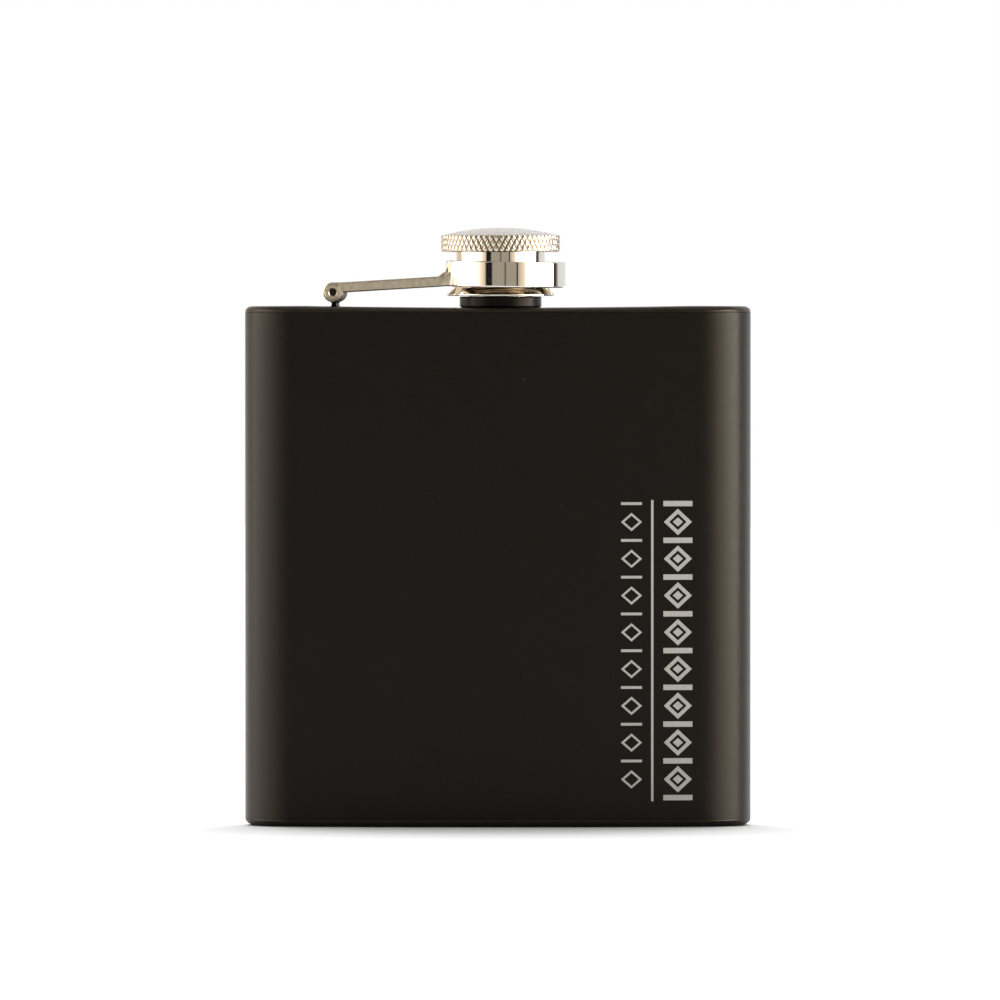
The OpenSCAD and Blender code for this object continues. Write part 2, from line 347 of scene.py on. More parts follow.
# %% The steels
def polished_steel(name, colour=(0.82, 0.78, 0.72), roughness=0.035):
    """Mirror steel with a slow ripple and a few hairline scratches."""
    material, tree, shader, place = new_material(name, colour, roughness, 1.0)
    hairs = noise(tree, place, 900, 2, stretch=(1, 1, 0.06))
    rough = spread(tree, hairs, 0.35, 0.75, roughness * 0.7, roughness * 1.9)
    tree.links.new(rough, shader.inputs["Roughness"])
    ripple = bump(tree, shader, noise(tree, place, 260, 2), 0.00002, 0.2)
    bump(tree, shader, hairs, 0.000002, 0.2, under=ripple)
    return material


def brushed_steel(name, colour, roughness, turn=0.0, stretch=(14, 1, 1)):
    """Dull steel with a grain drawn out along one direction, and a mottled tone."""
    material, tree, shader, place = new_material(name, colour, roughness, 1.0)
    grain = noise(tree, place, 2600, 3, stretch=stretch, turn=turn)
    cloud = noise(tree, place, 600, 3)
    tone = mix_colour(tree, spread(tree, cloud, 0.3, 0.7, 0, 1),
                      tuple(c * 0.9 for c in colour), tuple(min(1, c * 1.1) for c in colour))
    tree.links.new(tone, shader.inputs["Base Color"])
    rough = spread(tree, grain, 0.3, 0.7, roughness * 0.8, roughness * 1.25)
    tree.links.new(rough, shader.inputs["Roughness"])
    bump(tree, shader, grain, 0.000005, 0.7)
    return material


print("steels: polished_steel is a mirror, brushed_steel is dull")

# %% [markdown]
# ## The outline of the bowed body
#
# In plan the body is a band of constant thickness along a shallow arc, with full round ends. Every
# point of its outline is a point M on the band's middle line plus an outward unit vector n. At a
# distance d inside the outer face, the outline is M + n (half thickness - d). So a whole wall or
# plate is a profile of (d, z) pairs carried round the pairs (M, n).

# %% Outline and the sweep round it
BOW = 2.5 * MM
wall_low, wall_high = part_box("body_wall")
plate_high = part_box("top_plate")[1]
base_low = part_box("bottom_plate")[0]
HALF_T = (cad_high.y - cad_low.y - BOW) / 2
END_X = cad_high.x - HALF_T
MID_Y = (cad_high.y + cad_low.y - BOW) / 2
BOW_R = (END_X**2 + BOW**2) / (2 * BOW)
BOW_A = math.degrees(math.asin(END_X / BOW_R))
CURVE_Y = MID_Y + BOW_R
LONG, ROUND = 150, 56                  # stations on a long side and on a round end
TOP_SINK, BASE_RISE = 0.3 * MM, 0.1 * MM
SINK_FULL, SINK_NONE = 2.6 * MM, 3.6 * MM


def outline():
    """Middle-line points M and outward normals n round the body: front arc, right end, back arc,
    left end. On an arc, M = curve centre + u R; n is u in front, -u behind. On an end, M is fixed."""
    front = np.radians(np.linspace(-90 - BOW_A, -90 + BOW_A, LONG, endpoint=False))
    right = np.radians(np.linspace(-90 + BOW_A, 90 + BOW_A, ROUND, endpoint=False))
    left = np.radians(np.linspace(90 - BOW_A, 270 - BOW_A, ROUND, endpoint=False))
    back = np.linspace(front[0] + math.radians(2 * BOW_A), front[0], LONG, endpoint=False)
    unit = [np.stack([np.cos(a), np.sin(a)], axis=1) for a in (front, right, back, left)]
    centre = np.array([0.0, CURVE_Y])
    middle = [centre + unit[0] * BOW_R, np.tile([END_X, MID_Y + BOW], (ROUND, 1)),
              centre + unit[2] * BOW_R, np.tile([-END_X, MID_Y + BOW], (ROUND, 1))]
    return np.concatenate(middle), np.concatenate([unit[0], unit[1], -unit[2], unit[3]])


MIDDLE, NORMAL = outline()


def settle(points, inset):
    """Where the plates were welded and ground, the rims sank a little between the round ends: z
    drops by up to TOP_SINK above the wall and rises by up to BASE_RISE at the foot, by the share
    1 - (x / end)^2, which fades to nothing between the two insets."""
    x, z = points[..., 0], points[..., 2]
    share = np.clip(1 - (x / END_X) ** 2, 0, 1) * (1 - smooth(inset, SINK_FULL, SINK_NONE))
    top = smooth(z, wall_high.z, plate_high.z)
    base = 1 - smooth(z, wall_low.z, wall_low.z + 12 * MM)
    points[..., 2] = z + share * (BASE_RISE * base - TOP_SINK * top)
    return points


def carry_round(profile):
    """Carries (d, z) pairs round the outline: point = M + n (half thickness - d), at height z."""
    d, z = profile[:, 0], profile[:, 1]
    xy = MIDDLE[None] + NORMAL[None] * (HALF_T - d)[:, None, None]
    points = np.concatenate([xy, np.broadcast_to(z[:, None, None], (*xy.shape[:2], 1))], axis=2)
    return settle(points, np.broadcast_to(d[:, None], xy.shape[:2]))


print(f"half thickness {HALF_T / MM:.2f} mm, bow radius {BOW_R / MM:.1f} mm, {len(MIDDLE)} stations")

# %% [markdown]
# ## The wall
#
# One sheet goes all the way round and is butt-welded. Where it meets the plates the weld was ground
# flush, and the coat sinks into the joint as a hairline. A Solidify modifier on a thin skin would
# give the thickness too, but not the corners. Here the profile is the sheet's whole section: up the
# outside, over the top edge, down the inside. A tiny bevel at each end makes the hairline.

# %% Build the wall
WALL = 0.6 * MM
HAIRLINE = 0.08 * MM


def wall_profile():
    """The sheet's section as (d, z): outside face, top edge, inside face, bottom edge."""
    low, high = wall_low.z, wall_high.z
    rise = np.linspace(low + HAIRLINE, high - HAIRLINE, 48)
    outside = np.stack([np.zeros_like(rise), rise], axis=1)
    inside = np.stack([np.full(12, WALL), np.linspace(high, low, 12)], axis=1)
    return np.concatenate([[[HAIRLINE, low], [HAIRLINE * 0.3, low + HAIRLINE * 0.3]], outside,
                           [[HAIRLINE * 0.3, high - HAIRLINE * 0.3], [HAIRLINE, high]], inside])


wall = piece("flask_wall", [shell(carry_round(wall_profile()), True, True)], "flask",
             ["body_wall"])
wall.data.materials.append(coat_on_wall)

# %% [markdown]
# ## The two end plates
#
# Each plate is a pressing: a sunk panel, a narrow flat land, and a rolled edge that turns down to
# meet the wall. The same profile serves both, the base one upside down and with a wider edge. It
# runs in to the middle line, where front and back weld together, so the panel needs no filling in.
# The top plate then gets its hole from a boolean, because the grid's lines run round the body and
# not round the neck.

# %% Build the plates
LAND = 1.3 * MM
DISH = 0.35 * MM
PLATE_T = 0.8 * MM
LIP = 1.5 * MM
neck_low, neck_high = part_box("neck_collar")
NECK_X = (neck_low.x + neck_high.x) / 2
NECK_Y = (neck_low.y + neck_high.y) / 2
COLLAR_R = (neck_high.x - neck_low.x) / 2
PANEL_Z = neck_low.z


def plate_profile(edge_w, edge_h, up):
    """A plate's section as (d, height above the seam): panel, step, land, rolled edge as a quarter
    ellipse edge_w by edge_h, hairline, lip, underside; up is 1 for the top plate and -1 below."""
    land = edge_w + LAND
    a = np.radians(np.linspace(90, 8, 12))
    rolled = np.stack([edge_w - edge_w * np.cos(a), edge_h * np.sin(a)], axis=1)
    step = [[land + 1.0 * MM, edge_h - DISH], [land + 0.55 * MM, edge_h - DISH * 0.94],
            [land + 0.3 * MM, edge_h - DISH * 0.5], [land + 0.05 * MM, edge_h - DISH * 0.05]]
    across = np.linspace(HALF_T, land + 1.5 * MM, 8)
    panel = np.stack([across, np.full(8, edge_h - DISH)], axis=1)
    under = [[HAIRLINE, 0], [WALL, 0], [WALL, -LIP], [WALL + 0.5 * MM, -LIP],
             [WALL + 0.5 * MM, edge_h - PLATE_T], [land, edge_h - PLATE_T],
             [land + DISH, edge_h - PLATE_T - DISH], [HALF_T, edge_h - PLATE_T - DISH]]
    profile = np.concatenate([panel, step, [[land - 0.3 * MM, edge_h]], rolled, under])
    seam = wall_high.z if up > 0 else wall_low.z
    return np.stack([profile[:, 0], seam + up * profile[:, 1]], axis=1)


def cut_hole(obj, radius, low, high):
    """Takes a cylinder about the neck's axis out of a piece, by an exact boolean."""
    round_ = arc((NECK_X, NECK_Y), radius, 0, 360, 97)[:-1]
    rings = [np.column_stack([round_, np.full(len(round_), z)]) for z in (low, high)]
    mesh = welded_mesh("cutter", *shell(np.stack(rings), False, True, caps=True))[0]
    cutter = bpy.data.objects.new("cutter", mesh)
    bpy.context.scene.collection.objects.link(cutter)
    cut = obj.modifiers.new("hole", "BOOLEAN")
    cut.object, cut.operation, cut.solver = cutter, "DIFFERENCE", "EXACT"
    bpy.context.view_layer.update()
    result = bpy.data.meshes.new_from_object(obj.evaluated_get(bpy.context.evaluated_depsgraph_get()))
    obj.modifiers.clear()
    obj.data = result
    bpy.data.objects.remove(cutter)
    result.set_sharp_from_angle(angle=math.radians(30))
    keep_flats_flat(obj)


TOP_EDGE = plate_high.z - wall_high.z
BASE_EDGE = wall_low.z - base_low.z
TOP_ROLL, BASE_ROLL = 1.25 * MM, 2.0 * MM         # how far in each rolled edge reaches
TUBE_HOLE_R = 5.9 * MM
top = piece("top_end_plate", [shell(carry_round(plate_profile(TOP_ROLL, TOP_EDGE, 1)), False, True)],
            "flask", ["top_plate"])
cut_hole(top, TUBE_HOLE_R, PANEL_Z - 3 * MM, PANEL_Z + 1 * MM)
top.data.materials.append(coat_on_plates)
base = piece("bottom_end_plate",
             [shell(carry_round(plate_profile(BASE_ROLL, BASE_EDGE, -1)), False, True)],
             "flask", ["bottom_plate"])
base.data.materials.append(coat_on_base)

# %% [markdown]
# ## Turned pieces
#
# The collar, the neck, the cap and its seal are all turned about the neck's axis: a profile of
# (radius, height) pairs spun through a full turn. Blender's Screw modifier does the same, but here a
# small change to the radius at each angle and height can also give a thread or a knurl, because
# the whole surface is one formula of two numbers.

# %% The lathe
def spin(profile, count=128, change=None):
    """Spins (r, z) pairs about the neck's axis: x = r cos a, y = r sin a. change(a, r, z) may give
    each point a new radius."""
    a = np.linspace(0, 2 * math.pi, count, endpoint=False)
    r, z = (np.repeat(profile[:, k][:, None], count, axis=1) for k in (0, 1))
    angle = np.repeat(a[None], len(profile), axis=0)
    if change is not None:
        r = change(angle, r, z)
    return np.stack([NECK_X + r * np.cos(angle), NECK_Y + r * np.sin(angle), z], axis=2)


print("a line of 5 points spun in 8 steps gives", spin(np.zeros((5, 2)), 8).shape[:2], "points")

# %% [markdown]
# ## The collar
#
# The collar is a plain black ring round the foot of the neck. Its upper edge is softened, and it is
# undercut at its foot, where the weld was cleaned up before coating. Six corners, four of them rounded,
# say all of that, which a bevelled cylinder could not, since its bevels would all be alike.

# %% The collar
bore_low, bore_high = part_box("neck_tube")
MOUTH_Z = bore_high.z
BORE_R, ROOT_R, CREST_R = 5.2 * MM, 5.9 * MM, 6.35 * MM
collar_line = rounded(
    np.array([[ROOT_R, neck_low.z - 0.2 * MM], [COLLAR_R - 0.3 * MM, neck_low.z - 0.2 * MM],
              [COLLAR_R - 0.25 * MM, neck_low.z + 0.15 * MM], [COLLAR_R, neck_low.z + 0.4 * MM],
              [COLLAR_R, neck_high.z], [ROOT_R, neck_high.z]]),
    [0.05 * MM, 0.1 * MM, 0.1 * MM, 0.18 * MM])
collar = piece("neck_foot_collar", [shell(spin(collar_line), True, True)], "flask",
               ["neck_collar"])
collar.data.materials.append(coat_on_fittings)

# %% [markdown]
# ## The threaded neck
#
# The neck is bare steel, and the shut cap hides it. Its thread is a true right-hand helix. It could
# be a swept triangle joined to a tube, which leaves a seam along the whole thread. Instead the tube's
# own radius grows: the ridge's height depends only on z / pitch - angle / full turn, so it climbs
# by one pitch each turn. It fades in and out over the last bit at each end, as a rolled thread does.

# %% The threaded neck
PITCH = 1.5 * MM
THREAD_ROWS = 110


def ridge(angle, z, low, high):
    """0 to 1 height of a rounded thread ridge at an angle and height, faded at both its ends."""
    phase = (z / PITCH - angle / (2 * math.pi)) % 1
    shape = smooth(0.5 - np.abs(phase - 0.5), 0.12, 0.4)
    return shape * smooth(z, low, low + 0.6 * MM) * (1 - smooth(z, high - 0.6 * MM, high))


def neck_radius(angle, r, z):
    """The outside grows from the root to the crest by the ridge's height; the bore stays."""
    outside = (r > ROOT_R - 0.01 * MM) & (r < ROOT_R + 0.01 * MM)
    low, high = neck_high.z + 0.3 * MM, MOUTH_Z - 0.5 * MM
    return np.where(outside, r + (CREST_R - ROOT_R) * ridge(angle, z, low, high), r)


flange_r = (bore_high.x - bore_low.x) / 2
flange_z = PANEL_Z - PLATE_T
thread_rows = np.linspace(flange_z, MOUTH_Z - 0.2 * MM, THREAD_ROWS)
neck_line = np.concatenate([
    [[BORE_R, bore_low.z], [flange_r, bore_low.z], [flange_r, flange_z]],
    np.stack([np.full(THREAD_ROWS, ROOT_R), thread_rows], axis=1),
    [[ROOT_R - 0.08 * MM, MOUTH_Z - 0.05 * MM], [ROOT_R - 0.2 * MM, MOUTH_Z],
     [BORE_R + 0.15 * MM, MOUTH_Z], [BORE_R + 0.04 * MM, MOUTH_Z - 0.04 * MM],
     [BORE_R, MOUTH_Z - 0.15 * MM]]])
neck = piece("threaded_neck", [shell(spin(neck_line, 120, neck_radius), True, True)], "flask",
             ["neck_tube"])
neck.data.materials.append(brushed_steel("turned_neck", (0.62, 0.6, 0.57), 0.3, stretch=(9, 9, 1)))

# %% [markdown]
# ## The crown and its knurl
#
# The crown is the part that fingers turn, with a domed top over a knurled band:
# two families of grooves cross and leave small pyramids. A bump map would leave the outline smooth,
# so the grooves are real. With N diamonds round the band, a groove runs wherever
# N angle / turn + z / height is a whole number, and the other family has a minus sign. The radius
# drops where either groove is near. The number of columns is a multiple of N, and one row is one
# column's worth of climb, so each groove keeps the same form all round.

# %% The crown
crown_low, crown_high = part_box("cap_crown")
CROWN_R = (crown_high.x - crown_low.x) / 2
SKIRT_R = 8.2 * MM
SOCKET = 1.6 * MM
DIAMONDS = 65
STEPS = 14
DIAMOND_H = 2.0 * MM
GROOVE_HALF = 0.3
KNURL_DEPTH = 0.1 * MM
DOME_H = 1.4 * MM
band_low, band_high = crown_low.z, crown_high.z - DOME_H


def knurled(angle, r, z):
    """Radius less the depth of the deeper groove: depth x (1 + cos(half turn x distance / half
    width)) / 2, where the distance is that of N a / turn +- z / height from a whole number."""
    turns = DIAMONDS * angle / (2 * math.pi)
    climb = (z - (band_low + band_high) / 2) / DIAMOND_H
    groove = np.zeros_like(r)
    for family in (turns + climb, turns - climb):
        distance = np.abs(family - np.round(family))
        near = np.clip(distance / GROOVE_HALF, 0, 1)
        groove = np.maximum(groove, 0.5 + 0.5 * np.cos(math.pi * near))
    near_band = (z > band_low - 0.01 * MM) & (z < band_high + 0.01 * MM)
    on_band = smooth(r, CROWN_R - 0.45 * MM, CROWN_R - 0.25 * MM) * near_band
    return r - KNURL_DEPTH * groove * on_band


def crown_profile():
    """Socket, underside, chamfer, knurled band, chamfer, then the dome as an arc to the axis."""
    edge = 0.15 * MM
    row = DIAMOND_H / STEPS
    rows = np.arange(band_low + edge, band_high - edge + row / 2, row)
    band = np.stack([np.full(len(rows), CROWN_R), rows], axis=1)
    dome_edge = CROWN_R - 0.35 * MM
    radius = (dome_edge**2 + DOME_H**2) / (2 * DOME_H)
    a = np.linspace(math.asin(dome_edge / radius), 0, 26)
    dome = np.stack([radius * np.sin(a), crown_high.z - radius + radius * np.cos(a)], axis=1)
    return np.concatenate([
        [[0, band_low + SOCKET], [SKIRT_R, band_low + SOCKET], [SKIRT_R, band_low],
         [CROWN_R - edge * 2, band_low]],
        band, [[CROWN_R - edge, band_high - edge * 0.3]], dome])


crown = piece("knurled_crown", [shell(spin(crown_profile(), DIAMONDS * STEPS, knurled), False, True)],
              "cap", ["cap_crown"], sharp=50)

# %% [markdown]
# ## The crown's finish
#
# The band is bright on its ridges and dark brown in its grooves, where the brown is painted
# shade, and the dome is satin. The mesh could be painted for that, but both follow from where a
# point is: its height tells band from dome, and its distance from the axis tells ridge from groove.

# %% The crown's finish
def crown_steel():
    """Bright steel on the band, satin above it, by height. Painted shade darkens the grooves of the
    band, by how far the surface is inside the band's full radius."""
    material, tree, shader, place = new_material("crown_steel", (0.8, 0.78, 0.75), 0.14, 1.0)
    height = node(tree, "SeparateXYZ", [("Vector", place)]).outputs[2]
    dome = spread(tree, height, band_high - 0.05 * MM, band_high + 0.1 * MM, 0, 1)
    reach = reach_from(tree, place, (NECK_X, NECK_Y, 0))
    sunk = spread(tree, reach, CROWN_R - 0.7 * KNURL_DEPTH, CROWN_R - 0.1 * KNURL_DEPTH, 1, 0)
    # painted shade: the grooves go dark brown by how deep the surface is sunk
    band = mix_colour(tree, sunk, (0.74, 0.69, 0.6), (0.24, 0.18, 0.12))
    tree.links.new(mix_colour(tree, dome, band, (0.77, 0.76, 0.755)), shader.inputs["Base Color"])
    tree.links.new(spread(tree, dome, 0, 1, 0.16, 0.34), shader.inputs["Roughness"])
    bump(tree, shader, noise(tree, place, 3500, 3), 0.000003, 0.5)
    return material


crown.data.materials.append(crown_steel())
print(f"knurl: {DIAMONDS} diamonds round a band of {CROWN_R / MM:.2f} mm radius")

# %% [markdown]
# ## The skirt
#
# The skirt is thin sheet, spun out at its foot into a flare that the ring can't pass, and ending in a
# small bead. A quarter circle would be the obvious flare, but spinning leaves a curve that starts
# very gently and turns fast near the edge. A power of the height gives exactly that.

# %% The skirt
skirt_low, skirt_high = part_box("cap_skirt")
FLARE_R = (skirt_high.x - skirt_low.x) / 2
SHEET = 0.4 * MM
FLARE_H = 1.6 * MM
flare_z = skirt_low.z
FLARE_RISE, FLARE_POWER = 5.0 * MM, 4.2
BEAD_R = 0.18 * MM


def skirt_profile():
    """Outside: r = skirt radius + flare width x (1 - t)^power, where t goes from 0 at the bead to 1
    where the straight part begins. The inside is the same line moved in and down, but no further in
    than the straight part's inner radius."""
    t = np.linspace(1, 0, 32)
    rim_z = flare_z + BEAD_R * (1 + math.sin(math.radians(55)))
    width = FLARE_R - BEAD_R * (1 - math.cos(math.radians(55))) - SKIRT_R
    outside = np.stack([SKIRT_R + width * (1 - t) ** FLARE_POWER, rim_z + FLARE_RISE * t], axis=1)
    rim = arc((FLARE_R - BEAD_R, flare_z + BEAD_R), BEAD_R, 50, -90, 12)
    inside = outside[::-1] - [0.26 * MM, 0.2 * MM]
    inside[:, 1] = np.maximum(inside[:, 1], flare_z + 0.01 * MM)
    inside[:, 0] = np.maximum(inside[:, 0], SKIRT_R - SHEET)
    straight = np.linspace(skirt_high.z, rim_z + FLARE_RISE, 12, endpoint=False)
    return np.concatenate([np.stack([np.full(12, SKIRT_R), straight], axis=1), outside, rim, inside,
                           [[SKIRT_R - SHEET, rim_z + FLARE_RISE], [SKIRT_R - SHEET, skirt_high.z]]])


skirt = piece("flared_skirt", [shell(spin(skirt_profile(), 192), True, True)], "cap",
              ["cap_skirt"])
skirt.data.materials.append(polished_steel("skirt_mirror"))

# %% [markdown]
# ## The liner and the seal
#
# Inside the skirt sits a moulded liner, which holds the cap's own thread, and in its roof a soft disc
# seals the mouth. Both show only when the arm is swung back. They could be left as plain rings, but
# the open cap faces up then, so the liner reuses the neck's ridge, this time growing inwards.

# %% The liner and the seal
liner_low, liner_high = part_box("cap_liner")
seal_low, seal_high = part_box("cap_seal")
LINER_R, LINER_ROOT_R, LINER_CREST_R = 7.8 * MM, 7.4 * MM, 7.0 * MM
LINER_ROWS = 90


def liner_radius(angle, r, z):
    """The inside narrows from its root to its crest by the ridge's height."""
    inside = np.abs(r - LINER_ROOT_R) < 0.01 * MM
    depth = (LINER_ROOT_R - LINER_CREST_R) * ridge(angle, z, liner_low.z, seal_low.z)
    return np.where(inside, r - depth, r)


inner_rows = np.linspace(liner_low.z + 0.05 * MM, seal_low.z, LINER_ROWS)
liner_line = np.concatenate([
    [[0, liner_high.z], [LINER_R, liner_high.z], [LINER_R, liner_low.z],
     [LINER_ROOT_R + 0.1 * MM, liner_low.z]],
    np.stack([np.full(LINER_ROWS, LINER_ROOT_R), inner_rows], axis=1),
    [[LINER_ROOT_R, seal_high.z], [0, seal_high.z]]])
liner = piece("threaded_liner", [shell(spin(liner_line, 120, liner_radius), False, True)], "cap",
              ["cap_liner"])
liner.data.materials.append(grained("moulded_liner", (0.03, 0.03, 0.032), 0.42, 2400, 0.4))

SEAL_R = (seal_high.x - seal_low.x) / 2
seal_line = rounded(
    np.array([[0, seal_low.z], [SEAL_R, seal_low.z], [SEAL_R, seal_high.z], [0, seal_high.z]]),
    [0.2 * MM, 0.2 * MM])
seal = piece("sealing_disc", [shell(spin(seal_line, 96), False, True)], "seal",
             ["cap_seal"])
seal.data.materials.append(grained("silicone", (0.62, 0.63, 0.6), 0.45, 1500, 0.3,
                                   Subsurface_Weight=0.3, Subsurface_Scale=0.001))

# %% [markdown]
# ## The captive strip
#
# One steel strip makes the ring and both legs. Its middle was blanked taller than its ends, bent
# round a mandrel into the ring, and kinked back into two parallel legs. So it is a path in plan with
# a rounded section, whose lower and upper edges follow a rule along the path: low on the legs, a
# slanted shoulder, and full height round the ring. The joint gives the pin's place and direction.

# %% The strip's path
swing = next(j for j in frame["joints"] if j["name"] == "arm_swing")
PIN = np.array(swing["pos_m"])
pin_axis = -np.array(swing["axis"][:2])          # from the front eye to the back one
along = np.array([pin_axis[1], -pin_axis[0]])    # from the pin towards the ring
YAW = math.atan2(-along[1], along[0])
EYE_R, PIN_R = 1.85 * MM, 0.7 * MM
LEG_T, LEG_H, LEG_GAP = 1.1 * MM, 1.9 * MM, 5.1 * MM
RING_T, RING_H = 1.2 * MM, 4.8 * MM
arm_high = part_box("cap_arm")[1]
RING_MID_R = FLARE_R - 0.1 * MM + RING_T / 2
ring_xy = np.array([arm_high.x - RING_MID_R - RING_T / 2, NECK_Y]) - PIN[:2]
RING_U, RING_V = ring_xy @ along, ring_xy @ pin_axis
RING_Z = flare_z + FLARE_H - PIN[2]
TILT = math.radians(0.7)
BEND_R = 0.8 * MM
SHOULDER, SHOULDER_H = 1.3 * MM, 2.9 * MM


def leg_path(side):
    """One leg from its eye to the ring, in the strip's plan: a straight run at v = side x spacing,
    then an arc of the bend radius that touches both the leg and the ring's circle from outside."""
    v = side * (LEG_GAP + LEG_T) / 2
    centre_v = v + side * BEND_R
    reach = RING_MID_R + BEND_R
    centre = np.array([RING_U - math.sqrt(reach**2 - (centre_v - RING_V) ** 2), centre_v])
    to_ring = np.degrees(math.atan2(RING_V - centre[1], RING_U - centre[0]))
    start = 0.9 * MM
    run = np.concatenate([np.linspace(start, centre[0] - 2 * MM, 30, endpoint=False),
                          np.linspace(centre[0] - 2 * MM, centre[0], 10, endpoint=False)])
    straight = np.stack([run, np.full(len(run), v)], axis=1)
    bend = arc(centre, BEND_R, -90 * side, to_ring, 14)
    joins = math.degrees(math.atan2(bend[-1, 1] - RING_V, bend[-1, 0] - RING_U))
    return straight, bend, joins


front_run, front_bend, front_at = leg_path(-1)
back_run, back_bend, back_at = leg_path(1)
ring_run = arc((RING_U, RING_V), RING_MID_R, front_at, back_at if back_at > 0 else back_at + 360, 170)
path = np.concatenate([front_run, front_bend, ring_run[1:-1], back_bend[::-1], back_run[::-1]])
print(f"strip: {len(path)} stations, ring centre {RING_U / MM:.2f} mm from the pin")

# %% [markdown]
# ## The strip's surface and its eyes
#
# At each station the section is a rounded rectangle across the path. A bevelled curve could carry one
# section along the path, but this one changes its height as it goes, so it is worked out station by
# station. Its corners are quarter circles, so edges catch a thin line of light, as a tumbled
# strip's do.

# %% The strip's surface
def strip_edges(path):
    """Lower and upper edge of the strip at each station. On a leg the lower edge climbs in a line to
    the ring's edge; the height grows from the leg's to the shoulder's, then to the ring's."""
    u = path[:, 0]
    leg_start = EYE_R - LEG_H - 0.1 * MM
    leg_end = RING_Z + RING_MID_R * math.sin(TILT)
    bend_u = min(front_bend[0, 0], back_bend[0, 0])
    climb = leg_start + (leg_end - leg_start) * u / bend_u
    steps = np.linalg.norm(np.diff(path, axis=0), axis=1)
    travelled = np.concatenate([[0], np.cumsum(steps)])
    low, high = np.zeros(len(path)), np.zeros(len(path))
    total = travelled[-1]
    front_turn = travelled[len(front_run)]
    back_turn = total - travelled[len(front_run) + len(front_bend) + len(ring_run) - 3
                                  + len(back_bend)]
    for distance, turn in ((travelled, front_turn), (total - travelled, back_turn)):
        half = distance <= total / 2
        bend_l = BEND_R * 1.25
        height = np.interp(distance, [0, turn - SHOULDER, turn, turn + 0.5 * bend_l, total],
                           [LEG_H, LEG_H, SHOULDER_H, RING_H, RING_H])
        level = RING_Z - (u - RING_U) * math.sin(TILT)
        share = smooth(distance, turn - 1 * MM, turn + bend_l)
        bottom = climb * (1 - share) + level * share
        low[half], high[half] = bottom[half], (bottom + height)[half]
    return low, high


def strip(path, thickness, corner=0.28 * MM, count=6):
    """Section points: corner centre + corner radius (cos, sin), carried along the path with n, the
    plan normal of the path, and z."""
    step = np.gradient(path, axis=0)
    step /= np.linalg.norm(step, axis=1)[:, None]
    normal = np.stack([step[:, 1], -step[:, 0]], axis=1)
    low, high = strip_edges(path)
    a = np.radians(np.concatenate([np.linspace(q, q + 90, count) for q in (0, 90, 180, 270)]))
    side = np.repeat([1, -1, -1, 1], count)
    level = np.repeat([1, 1, -1, -1], count)
    across = side[None] * (thickness[:, None] / 2 - corner) + corner * np.cos(a)
    middle, half = (low + high)[:, None] / 2, (high - low)[:, None] / 2
    z = middle + level[None] * (half - corner) + corner * np.sin(a)
    plan = path[:, None] + normal[:, None] * across[..., None]
    return to_frame(np.concatenate([plan, z[..., None]], axis=2))


# %% [markdown]
# ## The eyes, and the strip as one piece
#
# Each leg ends in a round eye. On the real strip it is blanked with the leg, and here it is turned
# about the pin, which gives it a rounded rim and a countersunk hole in one line. Eyes and strip
# overlap as closed shells in one mesh, because the joint between them can't be seen.

# %% The eyes
def to_frame(points):
    """From the strip's own frame (u towards the ring, v towards the back eye, z from the pin)."""
    flat = points[..., :1] * along + points[..., 1:2] * pin_axis
    return np.concatenate([flat, points[..., 2:]], axis=-1) + PIN


def turned_on_pin(profile, count=72):
    """Spins (radius, v) pairs about the pin: u = r cos a, z = r sin a."""
    a = np.linspace(0, 2 * math.pi, count, endpoint=False)
    r, v = profile[:, 0][:, None], profile[:, 1][:, None]
    return to_frame(np.stack([r * np.cos(a), v + 0 * a, r * np.sin(a)], axis=-1))


def eye(side):
    """An eye: a disc a hair thicker than the leg, with rounded rims and a countersunk hole."""
    near, far = LEG_GAP / 2 - 0.02 * MM, LEG_GAP / 2 + LEG_T + 0.03 * MM
    line = rounded(
        np.array([[PIN_R, (near + far) / 2], [PIN_R, far - 0.12 * MM], [PIN_R + 0.14 * MM, far],
                  [1.34 * MM, far], [1.42 * MM, far - 0.08 * MM], [1.5 * MM, far],
                  [EYE_R, far], [EYE_R, near], [PIN_R, near], [PIN_R, (near + far) / 2]]),
        [0.0, 0.0, 0.03 * MM, 0.03 * MM, 0.03 * MM, 0.3 * MM, 0.08 * MM, 0.02 * MM])[:-1]
    return shell(turned_on_pin(line * [1, side]), True, True)


ring_share = smooth(path[:, 0], front_bend[0, 0], front_bend[-1, 0])
strip_surface = strip(path, LEG_T + (RING_T - LEG_T) * ring_share)
arm = piece("captive_strip", [shell(strip_surface, False, True, caps=True), eye(-1), eye(1)], "arm",
            ["cap_arm"])

# %% [markdown]
# ## The strip's finish
#
# The strip is dull and brushed on the legs and mirror-bright round the ring, which fingers and cap
# keep polished. Two materials would meet in a hard line, so one material blends from the one to the
# other by how far a point is from the ring's axis.

